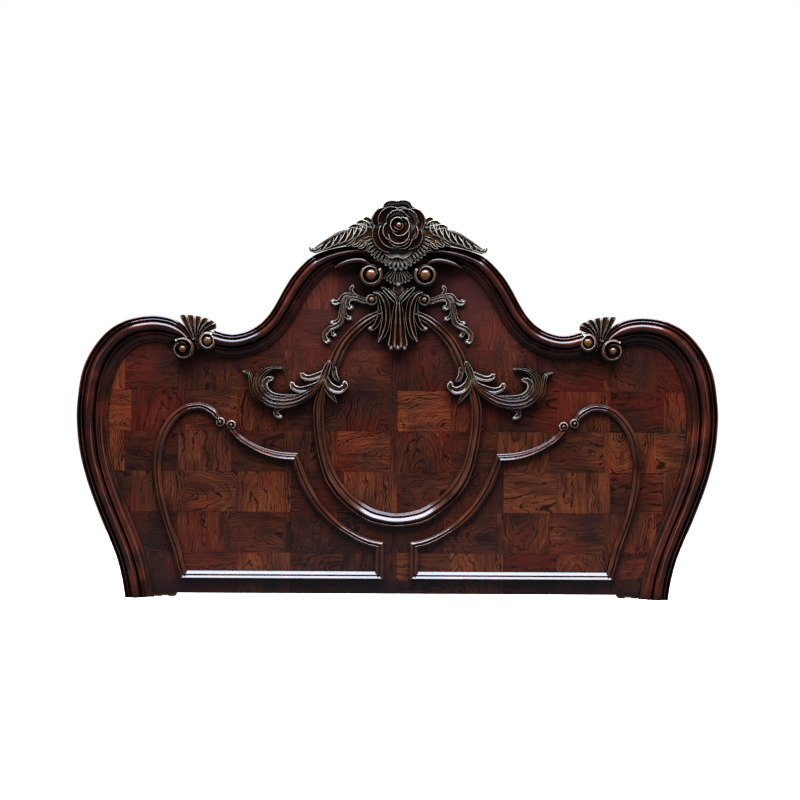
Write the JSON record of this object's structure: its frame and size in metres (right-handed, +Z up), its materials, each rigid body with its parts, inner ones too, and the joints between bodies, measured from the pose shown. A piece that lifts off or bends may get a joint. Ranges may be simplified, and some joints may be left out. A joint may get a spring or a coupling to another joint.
{
  "type": "carved headboard",
  "caption": "Tall carved wooden headboard with a scalloped outline, moulded scroll frame, parquet panels, acanthus sprays and a rose crest.",
  "frame": {"origin": "on the floor, at the middle of the footprint", "axes": "+X across the bed to the right as seen from the bed, +Y towards the wall, +Z up; the carved face looks along -Y"},
  "size_m": [1.9206, 0.1296, 1.194],
  "materials": {
    "dark_lacquer": "near-black brown gloss lacquer, rubbed through to tan on the rims",
    "worn_lacquer": "brown gloss lacquer rubbed back to the golden wood",
    "parquet": "semi-gloss red-brown parquet veneer with strong grain",
    "core_wood": "plain sealed plywood and beech",
    "zinc_steel": "zinc plated",
    "nylon": "matt black moulded nylon"
  },
  "bodies": {
    "root": {"core_board": "core_wood", "parquet_veneer": "parquet", "left_side_moulding": "dark_lacquer", "right_side_moulding": "dark_lacquer", "left_crown_moulding": "dark_lacquer", "right_crown_moulding": "dark_lacquer", "left_side_scroll": "dark_lacquer", "right_side_scroll": "dark_lacquer", "left_crown_scroll": "dark_lacquer", "right_crown_scroll": "dark_lacquer", "left_shoulder_leaf": "dark_lacquer", "right_shoulder_leaf": "dark_lacquer", "crest_block": "dark_lacquer", "crest_rose": "dark_lacquer", "crest_feathers": "dark_lacquer", "crest_palmette": "dark_lacquer", "left_crest_leaf": "dark_lacquer", "right_crest_leaf": "dark_lacquer", "left_cartouche_volute": "dark_lacquer", "right_cartouche_volute": "dark_lacquer", "left_small_volute": "dark_lacquer", "right_small_volute": "dark_lacquer", "pendant_collar": "dark_lacquer", "acanthus_pendant": "worn_lacquer", "left_sprig": "dark_lacquer", "right_sprig": "dark_lacquer", "oval_moulding": "dark_lacquer", "left_oval_branch": "worn_lacquer", "right_oval_branch": "worn_lacquer", "left_acanthus_spray": "dark_lacquer", "right_acanthus_spray": "dark_lacquer", "left_arch_moulding": "dark_lacquer", "right_arch_moulding": "dark_lacquer", "left_slope_moulding": "dark_lacquer", "right_slope_moulding": "dark_lacquer", "left_inner_moulding": "dark_lacquer", "right_inner_moulding": "dark_lacquer", "left_post_moulding": "dark_lacquer", "right_post_moulding": "dark_lacquer", "left_base_moulding": "dark_lacquer", "right_base_moulding": "dark_lacquer", "left_panel_scrolls": "dark_lacquer", "right_panel_scrolls": "dark_lacquer", "turned_bosses": "worn_lacquer", "left_strut": "core_wood", "right_strut": "core_wood", "upper_rear_rail": "core_wood", "lower_rear_rail": "core_wood", "bolt_inserts": "zinc_steel", "rear_screws": "zinc_steel", "foot_glides": "nylon"}
  },
  "joints": []
}
